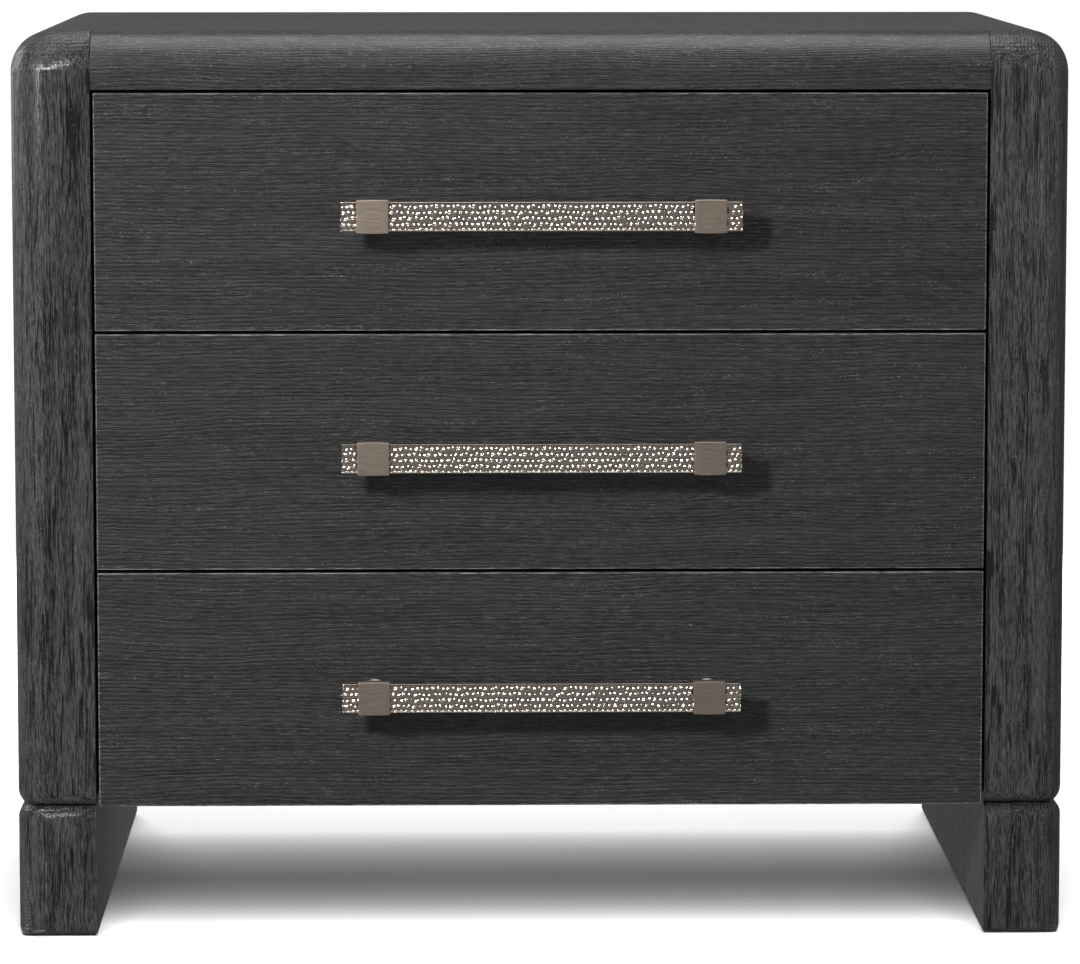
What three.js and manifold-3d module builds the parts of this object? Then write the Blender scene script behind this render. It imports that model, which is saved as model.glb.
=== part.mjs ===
// A three-drawer nightstand in charcoal oak: thick round-edged side panels on separate foot
// panels, a top panel with rounded front and back edges, and three inset drawers that run on
// three-member ball-bearing slides. Each drawer front carries a hammered bar in two sleeves.
//
// Millimetres, +Z up, the front faces -Y. The origin is on the floor, under the centre of the
// whole object's box, handles included.
import * as THREE from "three";
import { mergeVertices } from "three/addons/utils/BufferGeometryUtils.js";
import Module from "manifold-3d";

const wasm = await Module();
wasm.setup();

// ---- Driving dimensions ---------------------------------------------------------------------
const WIDTH = 762;
const DEPTH = 508;
const HEIGHT = 657.4;
const SIDE_THICK = 58;
const TOP_THICK = 41.6;
const FIT = 0.3; // gap between pieces that touch
const REVEAL = 2.2; // gap round a drawer front

const TOP_ROUND = 29; // on the top's outer edges
const CORNER_ROUND = 25; // on the upright outer edges
const ROUND_STEPS = 10;
const SHARP = 0.5; // corner radius left where a round closes
const GLIDE_HIGH = 2;
const GLIDE_RADIUS = 12;
const GLIDE_INSET = 45; // from a foot's front or back face to a glide's centre
const FOOT_TOP = 96;
const FOOT_EDGE = { across: 9, high: 13 }; // round on the foot's top edge
const SIDE_EDGE = { across: 9, high: 12 }; // round on the side's bottom edge, over it
const FOOT_SOLE = { across: 2, high: 2 };

const FRONT_THICK = 22;
const FRONT_GAP_BEHIND = 2; // air between a drawer front and what stands behind it
const BACK_THICK = 12;
const BACK_RECESS = 8;
const BASE_THICK = 18;
const BASE_BOTTOM = 101;
const RAIL = { deep: 60, high: 18 };

const BOX = { thick: 13, high: 118, lift: 26, deep: 445 };
const PLY_THICK = 6; // drawer bottom
const PLY_LIFT = 10; // from the box's lower edge to the drawer bottom
const GROOVE_DEEP = 6;

const SLIDE_SPACE = 12.7; // between the case side and the drawer box
const SLIDE = { steel: 1.2, length: 450, travel: 430 };
const SLIDE_CABINET = { low: 0.3, reach: 9.2, half: 22.5 };
const SLIDE_MIDDLE = { low: 2.3, reach: 7.5, half: 18.0, shorter: 10 };
const SLIDE_DRAWER = { reach: 8.4, half: 13.5, shorter: 6 };

const BAR = { long: 288, thick: 6, high: 21, ease: 1 };
const SLEEVE = { wide: 23, high: 24, front: 1.2, back: 2.2 };
const SLEEVE_CENTRES = 241;
const SLEEVE_SLOT_CLEAR = 0.3;
const HANDLE_REACH = 38; // from the drawer front's face to the sleeve's face
const HANDLE_DROP = 1; // below the middle of the drawer front
const POST_RADIUS = 6;
const ROSETTE = { radius: 9, rim: 8, thick: 3 };

// ---- Derived places -------------------------------------------------------------------------
const HALF_OPENING = WIDTH / 2 - SIDE_THICK;
const TOP_UNDERSIDE = HEIGHT - TOP_THICK;
const FRONTS_BOTTOM = FOOT_TOP + FIT;
const FRONT_HIGH = (TOP_UNDERSIDE - FRONTS_BOTTOM - 3 * REVEAL) / 3;
const FRONT_PITCH = FRONT_HIGH + REVEAL;
const INSIDE_FRONT = FRONT_THICK + FRONT_GAP_BEHIND;
const BACK_Y = DEPTH - BACK_RECESS - BACK_THICK;
const BOX_HALF = HALF_OPENING - SLIDE_SPACE;

// ---- Materials ------------------------------------------------------------------------------
const finish = (color, roughness, metalness) =>
  new THREE.MeshStandardMaterial({ color, roughness, metalness });
const CHARCOAL_OAK = finish(0x38383a, 0.5, 0);
const PALE_BIRCH = finish(0xc9aa7c, 0.55, 0);
const HAMMERED_NICKEL = finish(0xa39b93, 0.3, 1);
const SATIN_NICKEL = finish(0x8d857d, 0.4, 1);
const ZINC_STEEL = finish(0xb4b7ba, 0.35, 1);
const BLACK_NYLON = finish(0x1b1b1c, 0.6, 0);

// ---- Shape helpers --------------------------------------------------------------------------
const cabinet = new THREE.Group();
cabinet.position.y = -(DEPTH - HANDLE_REACH) / 2;

function place(name, geometry, material, [x, y, z] = [0, 0, 0], mirrored = false) {
  const mesh = new THREE.Mesh(geometry, material);
  mesh.name = name;
  mesh.position.set(mirrored ? -x : x, y, z);
  mesh.scale.x = mirrored ? -1 : 1;
  cabinet.add(mesh);
}

// A plain board between two corners.
function board(name, material, low, high) {
  const size = high.map((h, i) => h - low[i]);
  const centre = high.map((h, i) => (h + low[i]) / 2);
  place(name, new THREE.BoxGeometry(...size), material, centre);
}

const shapeOf = (points) => new THREE.Shape(points.map(([a, b]) => new THREE.Vector2(a, b)));

// An outline in Y and Z, run along +X from x = 0.
function alongX(shape, length) {
  const turn = new THREE.Matrix4().makeBasis(
    new THREE.Vector3(0, 1, 0),
    new THREE.Vector3(0, 0, 1),
    new THREE.Vector3(1, 0, 0),
  );
  const geometry = new THREE.ExtrudeGeometry(shape, { depth: length, bevelEnabled: false });
  return geometry.applyMatrix4(turn);
}

// An outline in X and Z, run along +Y from y = 0.
function alongY(shape, length) {
  const geometry = new THREE.ExtrudeGeometry(shape, { depth: length, bevelEnabled: false });
  return geometry.rotateX(Math.PI / 2).translate(0, length, 0);
}

// Closed skin over a stack of convex rings, lowest first, each anticlockwise from above.
function loft(rings) {
  const count = rings[0].length;
  const last = (rings.length - 1) * count;
  const index = [];
  for (let level = 0; level < rings.length - 1; level++)
    for (let i = 0; i < count; i++) {
      const next = (i + 1) % count;
      const [a, b] = [level * count + i, level * count + next];
      index.push(a, b, b + count, a, b + count, a + count);
    }
  for (let i = 1; i < count - 1; i++) {
    index.push(0, i + 1, i);
    index.push(last, last + i, last + i + 1);
  }
  const geometry = new THREE.BufferGeometry();
  geometry.setAttribute("position", new THREE.Float32BufferAttribute(rings.flat(2), 3));
  geometry.setIndex(index);
  return geometry;
}

// One level of a right-hand panel: sharp on the inner side, round at the two outer corners, and
// drawn in by inset on its front, back and outer faces.
function panelRing(z, inset) {
  const radius = CORNER_ROUND * (1 - inset / TOP_ROUND) + SHARP;
  const x = WIDTH / 2 - inset - radius;
  const ring = [[HALF_OPENING, inset, z]];
  for (const [y, start] of [[inset + radius, -1], [DEPTH - inset - radius, 0]])
    for (let i = 0; i <= ROUND_STEPS; i++) {
      const turn = ((start + i / ROUND_STEPS) * Math.PI) / 2;
      ring.push([x + radius * Math.cos(turn), y + radius * Math.sin(turn), z]);
    }
  ring.push([HALF_OPENING, DEPTH - inset, z]);
  return ring;
}

// Rings of a round that closes on a level, from below it (upwards) or from above it.
function closingRound(level, { across, high }, upwards, steps) {
  const rings = [];
  for (let i = 0; i <= steps; i++) {
    const turn = ((i / steps) * Math.PI) / 2;
    const rise = high * (1 - Math.sin(turn));
    rings.push(panelRing(level + (upwards ? -rise : rise), across * (1 - Math.cos(turn))));
  }
  return upwards ? rings : rings.reverse();
}

// ---- Case -----------------------------------------------------------------------------------
function sidePanels() {
  const geometry = loft([
    ...closingRound(FOOT_TOP + FIT, SIDE_EDGE, false, 6),
    ...closingRound(HEIGHT, { across: TOP_ROUND, high: TOP_ROUND }, true, ROUND_STEPS),
  ]);
  place("side_panel_right", geometry, CHARCOAL_OAK);
  place("side_panel_left", geometry, CHARCOAL_OAK, undefined, true);
}

function footPanels() {
  const geometry = loft([
    ...closingRound(GLIDE_HIGH, FOOT_SOLE, false, 3),
    ...closingRound(FOOT_TOP, FOOT_EDGE, true, 6),
  ]);
  place("foot_panel_right", geometry, CHARCOAL_OAK);
  place("foot_panel_left", geometry, CHARCOAL_OAK, undefined, true);
}

function glides() {
  const high = GLIDE_HIGH - FIT;
  const disc = new THREE.CylinderGeometry(GLIDE_RADIUS, GLIDE_RADIUS, high, 32);
  disc.rotateX(Math.PI / 2);
  const x = HALF_OPENING + SIDE_THICK / 2;
  for (const [side, mirrored] of [["left", true], ["right", false]])
    for (const [end, y] of [["front", GLIDE_INSET], ["back", DEPTH - GLIDE_INSET]])
      place(`glide_${end}_${side}`, disc, BLACK_NYLON, [x, y, high / 2], mirrored);
}

function topPanel() {
  const outline = new THREE.Shape();
  outline.moveTo(0, TOP_UNDERSIDE);
  outline.lineTo(DEPTH, TOP_UNDERSIDE);
  outline.absarc(DEPTH - TOP_ROUND, HEIGHT - TOP_ROUND, TOP_ROUND, 0, Math.PI / 2, false);
  outline.absarc(TOP_ROUND, HEIGHT - TOP_ROUND, TOP_ROUND, Math.PI / 2, Math.PI, false);
  const half = HALF_OPENING - FIT;
  place("top_panel", alongX(outline, 2 * half), CHARCOAL_OAK, [-half, 0, 0]);
}

function innerBoards() {
  const half = HALF_OPENING - FIT;
  const ceiling = TOP_UNDERSIDE - FIT;
  board("back_panel", CHARCOAL_OAK, [-half, BACK_Y, BASE_BOTTOM],
    [half, BACK_Y + BACK_THICK, ceiling]);
  board("base_panel", CHARCOAL_OAK, [-half, INSIDE_FRONT, BASE_BOTTOM],
    [half, BACK_Y - FIT, BASE_BOTTOM + BASE_THICK]);
  for (const [name, gap] of [["lower", 1], ["upper", 2]]) {
    const middle = FRONTS_BOTTOM + gap * FRONT_PITCH - REVEAL / 2;
    board(`drawer_rail_${name}`, CHARCOAL_OAK, [-half, INSIDE_FRONT, middle - RAIL.high / 2],
      [half, INSIDE_FRONT + RAIL.deep, middle + RAIL.high / 2]);
  }
}

// ---- Drawer slides --------------------------------------------------------------------------
// A channel's outline in X and Z: its web stands at web, and its flanges reach from it by reach.
function channel(web, reach, half) {
  const steel = Math.sign(reach) * SLIDE.steel;
  const points = [
    [web, -half],
    [web + reach, -half],
    [web + reach, -half + SLIDE.steel],
    [web + steel, -half + SLIDE.steel],
    [web + steel, half - SLIDE.steel],
    [web + reach, half - SLIDE.steel],
    [web + reach, half],
    [web, half],
  ];
  return shapeOf(reach > 0 ? points : points.reverse());
}

// The three members of a drawer's pair of slides, measured from the case side towards the box.
function slides(drawer, bottom) {
  const middle = bottom + BOX.lift + BOX.high / 2;
  const members = [
    ["cabinet", channel(SLIDE_CABINET.low, SLIDE_CABINET.reach, SLIDE_CABINET.half), 0],
    ["middle", channel(SLIDE_MIDDLE.low, SLIDE_MIDDLE.reach, SLIDE_MIDDLE.half),
      SLIDE_MIDDLE.shorter],
    ["drawer", channel(SLIDE_SPACE - FIT, -SLIDE_DRAWER.reach, SLIDE_DRAWER.half),
      SLIDE_DRAWER.shorter],
  ];
  for (const [member, outline, shorter] of members) {
    const geometry = alongY(outline, SLIDE.length - shorter);
    const at = [-HALF_OPENING, INSIDE_FRONT + FIT, middle];
    for (const [side, mirrored] of [["left", false], ["right", true]])
      place(`${drawer}_slide_${member}_${side}`, geometry, ZINC_STEEL, at, mirrored);
  }
}

// ---- Drawer box -----------------------------------------------------------------------------
// A box board's section, from its outer face inwards, with the groove for the drawer bottom.
function groovedSection(bottom) {
  const [groove, inner] = [BOX.thick - GROOVE_DEEP, BOX.thick];
  const [low, high] = [bottom + PLY_LIFT - FIT, bottom + PLY_LIFT + PLY_THICK + FIT];
  return [
    [0, bottom],
    [inner, bottom],
    [inner, low],
    [groove, low],
    [groove, high],
    [inner, high],
    [inner, bottom + BOX.high],
    [0, bottom + BOX.high],
  ];
}

function drawerBox(drawer, frontBottom) {
  const bottom = frontBottom + BOX.lift;
  const near = FRONT_THICK + FIT;
  const section = groovedSection(bottom);
  const side = alongY(shapeOf(section), BOX.deep);
  place(`${drawer}_box_side_left`, side, PALE_BIRCH, [-BOX_HALF, near, 0]);
  place(`${drawer}_box_side_right`, side, PALE_BIRCH, [-BOX_HALF, near, 0], true);

  const half = BOX_HALF - BOX.thick - FIT;
  const end = alongX(shapeOf(section), 2 * half);
  place(`${drawer}_box_front`, end, PALE_BIRCH, [-half, near, 0]);
  const turned = end.clone().rotateZ(Math.PI);
  place(`${drawer}_box_back`, turned, PALE_BIRCH, [half, near + BOX.deep, 0]);

  const reach = BOX.thick - GROOVE_DEEP + FIT;
  const plyBottom = bottom + PLY_LIFT;
  board(`${drawer}_box_bottom`, PALE_BIRCH, [-BOX_HALF + reach, near + reach, plyBottom],
    [BOX_HALF - reach, near + BOX.deep - reach, plyBottom + PLY_THICK]);
}

// ---- Handle ---------------------------------------------------------------------------------
function solidOf(geometry) {
  const bare = geometry.index ? geometry.toNonIndexed() : geometry.clone();
  const merged = mergeVertices(
    new THREE.BufferGeometry().setAttribute("position", bare.getAttribute("position")),
    1e-4,
  );
  return new wasm.Manifold(
    new wasm.Mesh({
      numProp: 3,
      vertProperties: merged.attributes.position.array,
      triVerts: new Uint32Array(merged.index.array),
    }),
  );
}

function geometryOf(solid) {
  const mesh = solid.getMesh();
  const geometry = new THREE.BufferGeometry();
  geometry.setAttribute("position", new THREE.BufferAttribute(mesh.vertProperties, 3));
  geometry.setIndex(new THREE.BufferAttribute(mesh.triVerts, 1));
  return geometry;
}

// The bar's section in Y and Z about its own centre, with its long edges eased.
function barSection() {
  const [y, z, e] = [BAR.thick / 2, BAR.high / 2, BAR.ease];
  return shapeOf([[-y + e, -z], [y - e, -z], [y, -z + e], [y, z - e],
    [y - e, z], [-y + e, z], [-y, z - e], [-y, -z + e]]);
}

const BAR_CENTRE = -HANDLE_REACH + SLEEVE.front + SLEEVE_SLOT_CLEAR + BAR.thick / 2;

// A sleeve that wraps the bar, on a turned post with a rosette: one casting, centred on x = 0.
function sleeveGeometry() {
  const back = BAR_CENTRE + BAR.thick / 2 + SLEEVE_SLOT_CLEAR + SLEEVE.back;
  const high = SLEEVE.high / 2;
  const slot = BAR.high / 2 + SLEEVE_SLOT_CLEAR;
  const ring = shapeOf([[-HANDLE_REACH, -high], [back, -high], [back, high],
    [-HANDLE_REACH, high]]);
  const [near, far] = [-HANDLE_REACH + SLEEVE.front, back - SLEEVE.back];
  ring.holes.push(shapeOf([[near, -slot], [near, slot], [far, slot], [far, -slot]]));
  const sleeve = alongX(ring, SLEEVE.wide).translate(-SLEEVE.wide / 2, 0, 0);

  const bury = SLEEVE.back / 2; // how far the post's end stands inside the sleeve's back wall
  const reach = -back + bury;
  const profile = [[0, FIT], [ROSETTE.radius, FIT], [ROSETTE.radius, 0.6 * ROSETTE.thick],
    [ROSETTE.rim, ROSETTE.thick], [POST_RADIUS, ROSETTE.thick], [POST_RADIUS, reach], [0, reach]];
  const post = new THREE.LatheGeometry(profile.map(([r, h]) => new THREE.Vector2(r, h)), 40);
  post.rotateX(Math.PI);
  return geometryOf(solidOf(sleeve).add(solidOf(post)));
}

function handle(drawer, frontBottom, bar, sleeve) {
  const z = frontBottom + FRONT_HIGH / 2 - HANDLE_DROP;
  place(`${drawer}_handle_bar`, bar, HAMMERED_NICKEL, [-BAR.long / 2, BAR_CENTRE, z]);
  for (const [side, sign] of [["left", -1], ["right", 1]]) {
    const x = (sign * SLEEVE_CENTRES) / 2;
    place(`${drawer}_handle_sleeve_${side}`, sleeve, SATIN_NICKEL, [x, 0, z]);
  }
}

// ---- Assembly -------------------------------------------------------------------------------
sidePanels();
footPanels();
glides();
topPanel();
innerBoards();

const barGeometry = alongX(barSection(), BAR.long);
const sleeveShape = sleeveGeometry();
["bottom", "middle", "top"].forEach((level, i) => {
  const drawer = `${level}_drawer`;
  const frontBottom = FRONTS_BOTTOM + i * FRONT_PITCH;
  const half = HALF_OPENING - REVEAL;
  board(`${drawer}_front`, CHARCOAL_OAK, [-half, 0, frontBottom],
    [half, FRONT_THICK, frontBottom + FRONT_HIGH]);
  drawerBox(drawer, frontBottom);
  slides(drawer, frontBottom);
  handle(drawer, frontBottom, barGeometry, sleeveShape);
});

export default cabinet;
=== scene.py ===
import math
import random

import bmesh
import bpy
from bpy.props import FloatProperty, FloatVectorProperty, IntProperty, PointerProperty
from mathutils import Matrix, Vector, kdtree


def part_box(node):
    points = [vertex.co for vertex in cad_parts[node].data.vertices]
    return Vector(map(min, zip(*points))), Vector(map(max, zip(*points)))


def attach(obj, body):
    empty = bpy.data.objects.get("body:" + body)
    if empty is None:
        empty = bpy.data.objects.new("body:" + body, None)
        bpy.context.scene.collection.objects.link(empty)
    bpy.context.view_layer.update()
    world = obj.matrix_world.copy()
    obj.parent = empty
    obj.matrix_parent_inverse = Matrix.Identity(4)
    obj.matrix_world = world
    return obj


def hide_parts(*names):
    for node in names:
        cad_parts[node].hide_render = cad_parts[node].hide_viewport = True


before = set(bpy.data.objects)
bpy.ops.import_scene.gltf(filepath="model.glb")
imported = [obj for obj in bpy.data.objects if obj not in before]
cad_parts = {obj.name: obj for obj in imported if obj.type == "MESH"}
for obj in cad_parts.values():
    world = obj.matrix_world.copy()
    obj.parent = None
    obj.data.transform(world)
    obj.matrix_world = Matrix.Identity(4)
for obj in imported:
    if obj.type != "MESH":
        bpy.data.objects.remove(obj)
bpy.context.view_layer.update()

bl_info = {
    "name": "Three-drawer nightstand",
    "version": (1, 0, 0),
    "blender": (4, 5, 0),
    "location": "View3D > Sidebar > Nightstand",
    "description": "Builds the finished pieces of a charcoal oak nightstand round its frame",
    "category": "Add Mesh",
}

MM = 0.001
SAME = 1e-5  # places nearer than this are one place
DRAWERS = ("bottom_drawer", "middle_drawer", "top_drawer")
SIDES = ("left", "right")


def linear(hex_colour):
    """The linear colour of an sRGB hex value such as "38383a"."""
    channels = [int(hex_colour[i : i + 2], 16) / 255 for i in (0, 2, 4)]
    lifted = [c / 12.92 if c <= 0.04045 else ((c + 0.055) / 1.055) ** 2.4 for c in channels]
    return (*lifted, 1.0)


# ---- Sizes and colours a user may change ------------------------------------------------------


def length(name, description, default):
    """A length property, in metres."""
    return FloatProperty(
        name=name, description=description, default=default, min=0.0, unit="LENGTH",
        precision=5,
    )


def colour(name, description, hex_colour):
    """A colour property that takes its default from a hex value."""
    return FloatVectorProperty(
        name=name, description=description, default=linear(hex_colour), size=4,
        subtype="COLOR", min=0.0, max=1.0,
    )


class CaseSizes(bpy.types.PropertyGroup):
    """Rounds and arrises of the case and the drawer fronts."""

    top_round: length("Top round", "Radius of the top's outer edges", 29 * MM)
    corner_round: length("Corner round", "Radius of the upright outer edges", 25 * MM)
    groove_round: length("Groove round", "Radius of each edge at the groove", 10.5 * MM)
    sole_round: length("Sole round", "Radius under the foot panels", 4 * MM)
    arris: length("Arris", "Width of the eased sharp edges", 0.7 * MM)
    front_arris: length("Front arris", "Width of the drawer fronts' eased edges", 1.0 * MM)


class HandleSizes(bpy.types.PropertyGroup):
    """Hammering of the bars and walls of the sleeves."""

    mark_pitch: length("Mark pitch", "Distance between hammer marks", 3.8 * MM)
    mark_depth: length("Mark depth", "Depth of a hammer mark", 1.45 * MM)
    mark_rows: IntProperty(
        name="Mark rows", description="Rows of hammer marks across the bar", default=5, min=1
    )
    grid: length("Bar grid", "Size of the bar's surface facets", 0.5 * MM)
    sleeve_wall: length("Sleeve wall", "Thickness of a sleeve's wall", 1.2 * MM)
    crown: length("Sleeve crown", "Rise of a sleeve's bowed top and bottom", 0.35 * MM)


class BoxSizes(bpy.types.PropertyGroup):
    """Boards and joints of the drawer boxes."""

    board_arris: length("Board arris", "Width of the boards' eased edges", 1.2 * MM)
    pin_width: length("Pin width", "Width of a dovetail pin at the board's end", 7 * MM)


class Finishes(bpy.types.PropertyGroup):
    """Colours of the finishes."""

    oak: colour("Oak, level", "Charcoal stain on the ridges of the level grain", "434344")
    oak_upright: colour(
        "Oak, upright", "Charcoal stain on the ridges of the upright grain", "727273"
    )
    oak_deep: colour("Oak, deep", "Stain in the oak's valleys", "111112")
    oak_pore: colour("Oak pores", "Bottom of the open pores", "070708")
    # Pale flecks: partly filler in the pores, partly painted glints of light on the wood.
    oak_fleck_and_glint: colour("Oak flecks", "Pale filler caught in the pores", "969697")
    # Painted highlight: a pale colour on the drawer fronts' eased arrises for the light they
    # catch.
    oak_arris_highlight: colour("Oak, arris highlight", "Arrises painted pale as a highlight", "b8b8b9")
    birch: colour("Birch", "Clear-lacquered birch", "cdb083")
    birch_late: colour("Birch, late wood", "Darker lines in the birch", "ae8a58")
    birch_end: colour("Birch, end grain", "Where the lacquer soaks into end grain", "a4784a")
    nickel: colour("Nickel", "Nickel plate on the hammered bars", "d2c6bb")
    nickel_warm: colour("Nickel, warm", "Brushed nickel plate on the sleeves", "e4d0bf")
    zinc: colour("Zinc", "Bright zinc plate", "b9bcc0")


class StageSettings(bpy.types.PropertyGroup):
    """Floor, lights and camera."""

    floor: colour("Floor", "Plain pale floor", "fbfbfb")
    camera_distance: length("Camera distance", "From the drawer fronts to the camera", 3.84)
    camera_height: length("Camera height", "Above the floor", 0.782)
    camera_side: length("Camera side step", "To the left of the middle", 0.0686)
    aim_height: length("Aim height", "Where the camera looks, above the floor", 0.333)


SETTINGS = (CaseSizes, HandleSizes, BoxSizes, Finishes, StageSettings)


# ---- Modelling helpers ------------------------------------------------------------------------


def deselect():
    """Nothing stays selected or in edit mode."""
    if bpy.context.mode != "OBJECT":
        bpy.ops.object.mode_set(mode="OBJECT")
    bpy.ops.object.select_all(action="DESELECT")


def only(piece):
    """Selects one piece and makes it active."""
    deselect()
    piece.select_set(True)
    bpy.context.view_layer.objects.active = piece


def settle(name):
    """Names the active piece and puts its place in its mesh."""
    piece = bpy.context.object
    piece.name = piece.data.name = name
    bpy.ops.object.transform_apply(location=True, rotation=True, scale=True)
    return piece


def block(name, low, high):
    """A box between two corners."""
    deselect()
    low, high = Vector(low), Vector(high)
    bpy.ops.mesh.primitive_cube_add(size=1, location=(low + high) / 2, scale=high - low)
    return settle(name)


def rod(name, radius, depth, centre, axis="Z", vertices=48):
    """A cylinder along one axis."""
    deselect()
    turn = {"X": (0, math.pi / 2, 0), "Y": (math.pi / 2, 0, 0), "Z": (0, 0, 0)}[axis]
    bpy.ops.mesh.primitive_cylinder_add(
        vertices=vertices, radius=radius, depth=depth, location=centre, rotation=turn
    )
    return settle(name)


def pick(piece, kind, test):
    """Enters edit mode with only those faces, edges or vertices selected that pass the test."""
    only(piece)
    bpy.ops.object.mode_set(mode="EDIT")
    bpy.ops.mesh.select_mode(type=kind)
    bpy.ops.mesh.select_all(action="DESELECT")
    mesh = bmesh.from_edit_mesh(piece.data)
    elements = {"VERT": mesh.verts, "EDGE": mesh.edges, "FACE": mesh.faces}[kind]
    for element in elements:
        if test(element):
            element.select_set(True)
    mesh.select_flush_mode()
    bmesh.update_edit_mesh(piece.data)


def leave():
    """Back to object mode."""
    bpy.ops.object.mode_set(mode="OBJECT")


def middle(edge):
    """The middle of an edge."""
    return (edge.verts[0].co + edge.verts[1].co) / 2


def along(edge, axis):
    """True if an edge runs along axis 0, 1 or 2."""
    run = edge.verts[1].co - edge.verts[0].co
    return abs(run[axis]) > 0.999 * run.length


def apply(piece, kind, **settings):
    """Adds a modifier and applies it."""
    only(piece)
    modifier = piece.modifiers.new(kind.title(), kind)
    for key, value in settings.items():
        setattr(modifier, key, value)
    bpy.ops.object.modifier_apply(modifier=modifier.name)


def bevel_weights(piece, rules):
    """Gives each edge the weight of the first rule, (test, weight), that it passes."""
    only(piece)
    bpy.ops.object.mode_set(mode="EDIT")
    mesh = bmesh.from_edit_mesh(piece.data)
    weight = mesh.edges.layers.float.new("bevel_weight_edge")
    for edge in mesh.edges:
        for test, value in rules:
            if test(edge):
                edge[weight] = value
                break
    bmesh.update_edit_mesh(piece.data)
    leave()


def smooth(piece, degrees=35):
    """Smooth shading, with the large flat faces kept flat."""
    only(piece)
    bpy.ops.object.shade_smooth_by_angle(angle=math.radians(degrees))
    apply(piece, "WEIGHTED_NORMAL", keep_sharp=True, weight=80)


def ease(piece, width, segments=2, degrees=40):
    """Rounds every sharp edge a little."""
    apply(
        piece, "BEVEL", width=width, segments=segments, limit_method="ANGLE",
        angle_limit=math.radians(degrees), use_clamp_overlap=True,
    )


def dress(piece, material, body, slot, *nodes):
    """Gives a finished piece its material and body, and hides the nodes it stands for. slot is
    not used.
    """
    piece.data.materials.clear()
    piece.data.materials.append(material)
    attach(piece, body)
    if nodes:
        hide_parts(*nodes)


def copy_to(piece, name, shift):
    """A copy with its own mesh, moved by shift."""
    only(piece)
    bpy.ops.object.duplicate(linked=False)
    bpy.context.object.location += Vector(shift)
    return settle(name)


def repeated(make):
    """A function that makes a piece at a place the first time, and moved copies after that."""
    first = []

    def place(name, at):
        if first:
            piece, start = first
            return copy_to(piece, name, at - start)
        first.extend((make(name, at), at))
        return first[0]

    return place


def worked(node, width, segments=2):
    """A copy of a CAD node as a maker leaves it: one skin, with its arrises eased."""
    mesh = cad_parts[node].data.copy()
    piece = bpy.data.objects.new(f"finished_{node}", mesh)
    mesh.name = piece.name
    bpy.context.scene.collection.objects.link(piece)
    only(piece)
    bpy.ops.object.mode_set(mode="EDIT")
    bpy.ops.mesh.select_all(action="SELECT")
    bpy.ops.mesh.remove_doubles(threshold=0.001 * MM)
    bpy.ops.mesh.dissolve_limited(angle_limit=math.radians(1))
    leave()
    ease(piece, width, segments)
    smooth(piece)
    return piece


def screw_head(name, at, outward):
    """A pan head 7 mm wide that stands on a face, with a square recess for the driver."""
    axis = "X" if abs(outward.x) > 0.5 else "Y"
    radius, high, recess = 3.5 * MM, 1.6 * MM, 0.9 * MM
    head = rod(name, radius, high, at + outward * high / 2, axis, vertices=24)
    pick(head, "FACE", lambda f: f.normal.dot(outward) > 0.9)
    bpy.ops.mesh.inset(thickness=2.1 * MM)
    bpy.ops.mesh.extrude_region_move(
        TRANSFORM_OT_translate={"value": tuple(-recess * outward)}
    )
    leave()
    pick(head, "EDGE", lambda e: all(
        (v.co - at).dot(outward) > high - SAME and (v.co - at).length > 3 * MM
        for v in e.verts
    ))
    bpy.ops.mesh.bevel(offset=0.9 * MM, segments=4)
    leave()
    smooth(head, 50)
    return head


def mirror_x(piece, name):
    """A copy mirrored across the middle plane, its faces turned outwards again."""
    twin = copy_to(piece, name, (0, 0, 0))
    twin.scale.x = -1
    bpy.ops.object.transform_apply(location=True, rotation=True, scale=True)
    bpy.ops.object.mode_set(mode="EDIT")
    bpy.ops.mesh.select_all(action="SELECT")
    bpy.ops.mesh.normals_make_consistent(inside=False)
    leave()
    return twin


# ---- Finishes ---------------------------------------------------------------------------------


def new_finish(name):
    """An empty material: (material, node tree, shader, place on the piece)."""
    material = bpy.data.materials.new(name)
    material.use_nodes = True
    tree = material.node_tree
    place = tree.nodes.new("ShaderNodeTexCoord").outputs["Object"]
    return material, tree, tree.nodes["Principled BSDF"], place


def add(tree, kind, settings=None, links=None):
    """Adds a node. A setting is a property of the node or the value of a socket."""
    node = tree.nodes.new(kind)
    for key, value in (settings or {}).items():
        if isinstance(key, str) and hasattr(node, key):
            setattr(node, key, value)
        else:
            node.inputs[key].default_value = value
    for key, source in (links or {}).items():
        tree.links.new(source, node.inputs[key])
    return node


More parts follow.
